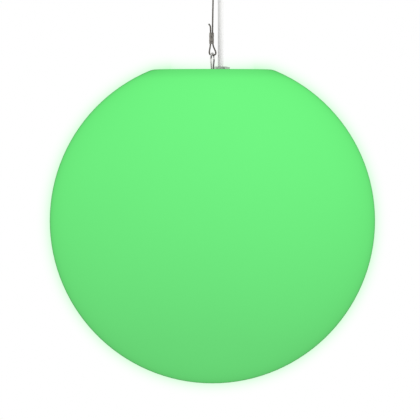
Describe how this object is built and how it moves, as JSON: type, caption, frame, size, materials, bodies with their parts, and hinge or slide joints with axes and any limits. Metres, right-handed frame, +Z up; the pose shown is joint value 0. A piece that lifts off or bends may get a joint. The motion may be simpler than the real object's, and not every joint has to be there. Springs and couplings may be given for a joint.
{
  "type": "hanging garden globe light",
  "caption": "Glowing plastic globe light with a flat top, hung by a wire rope and snap hook under a ceiling canopy, with its power cable beside the rope.",
  "frame": {"origin": "centre of the canopy strap's two feet on the ceiling", "axes": "+Z up out of the ceiling face, +X to the right seen from the front, along the strap and its slots, +Y away from the viewer"},
  "size_m": [0.3999, 0.4, 0.5915],
  "materials": {
    "globe_plastic": "satin moulded polyethylene, lit green from inside",
    "lid_plastic": "fine grained moulded plastic",
    "rubber_black": "matte",
    "rubber_grey": "matte",
    "zinc_steel": "zinc plated",
    "bright_steel": "polished, handled",
    "rope_steel": "stranded wire rope",
    "ferrule_alloy": "matte, crimped",
    "nickel": "nickel plated brass, satin",
    "canopy_paint": "white powder coat",
    "cable_pvc": "soft white sheath",
    "core_brown": "insulation",
    "core_blue": "insulation",
    "core_green": "insulation, green and yellow",
    "brass": "turned",
    "white_plastic": "moulded",
    "porcelain": "glazed",
    "board": "white solder mask",
    "emitter": "phosphor",
    "lamp_diffuser": "opal"
  },
  "bodies": {
    "ceiling_fitting": {"ceiling_strap": "zinc_steel", "ceiling_hook": "bright_steel", "hook_washers": "zinc_steel", "hook_nuts": "zinc_steel", "canopy_cover": "canopy_paint", "canopy_nut": "nickel", "canopy_gland_body": "nickel", "canopy_gland_seal": "rubber_grey", "canopy_gland_nut": "nickel", "canopy_gland_locknut": "nickel", "canopy_gland_cable": "cable_pvc", "terminal_block": "white_plastic", "terminal_screws": "brass", "canopy_live_core": "core_brown", "canopy_neutral_core": "core_blue", "canopy_earth_core": "core_green"},
    "rope": {"wire_rope": "rope_steel", "lower_ferrule": "ferrule_alloy", "upper_ferrule": "ferrule_alloy", "power_cable": "cable_pvc"},
    "snap_hook": {"snap_hook_body": "bright_steel", "gate_pin": "bright_steel"},
    "gate": {"snap_hook_gate": "bright_steel", "gate_spring": "zinc_steel"},
    "globe": {"globe_shell": "globe_plastic", "well_collar": "globe_plastic", "collar_inserts": "brass", "lid": "lid_plastic", "lid_gasket": "rubber_black", "lid_screws": "zinc_steel", "eye_bolt": "bright_steel", "eye_washers": "zinc_steel", "eye_nuts": "zinc_steel", "lid_gland_body": "nickel", "lid_gland_seal": "rubber_grey", "lid_gland_nut": "nickel", "lid_gland_locknut": "nickel", "lid_gland_cable": "cable_pvc", "holder_strap": "zinc_steel", "holder_screws": "zinc_steel", "nipple": "zinc_steel", "nipple_nut": "zinc_steel", "lampholder_cap": "white_plastic", "lampholder_core": "porcelain", "lampholder_sleeve": "white_plastic", "screw_shell_contact": "brass", "centre_contact": "brass", "live_core": "core_brown", "neutral_core": "core_blue", "earth_core": "core_green", "earth_screw": "brass", "lamp_cap": "nickel", "lamp_tip": "porcelain", "lamp_housing": "white_plastic", "lamp_board": "board", "lamp_emitters": "emitter", "lamp_driver_board": "board", "lamp_dome": "lamp_diffuser"}
  },
  "joints": [
    {"name": "rope_swing", "type": "hinge", "parent": "ceiling_fitting", "child": "rope", "pos_m": [0, 0, -0.07], "axis": [0, 1, 0], "range_deg": [-20, 20], "deforming": ["power_cable"]},
    {"name": "hook_swing", "type": "hinge", "parent": "rope", "child": "snap_hook", "pos_m": [0, 0, -0.1855], "axis": [0.2588, 0.9659, 0], "range_deg": [-15, 15]},
    {"name": "globe_tilt", "type": "hinge", "parent": "snap_hook", "child": "globe", "pos_m": [0, 0, -0.206], "axis": [0.9659, -0.2588, 0], "range_deg": [-15, 15]},
    {"name": "gate_open", "type": "hinge", "parent": "snap_hook", "child": "gate", "pos_m": [-0.00094, -0.00351, -0.2045], "axis": [-0.9659, 0.2588, 0], "range_deg": [0, 25], "stiffness_Nm_per_rad": 0.002, "springref_deg": -11.46}
  ]
}
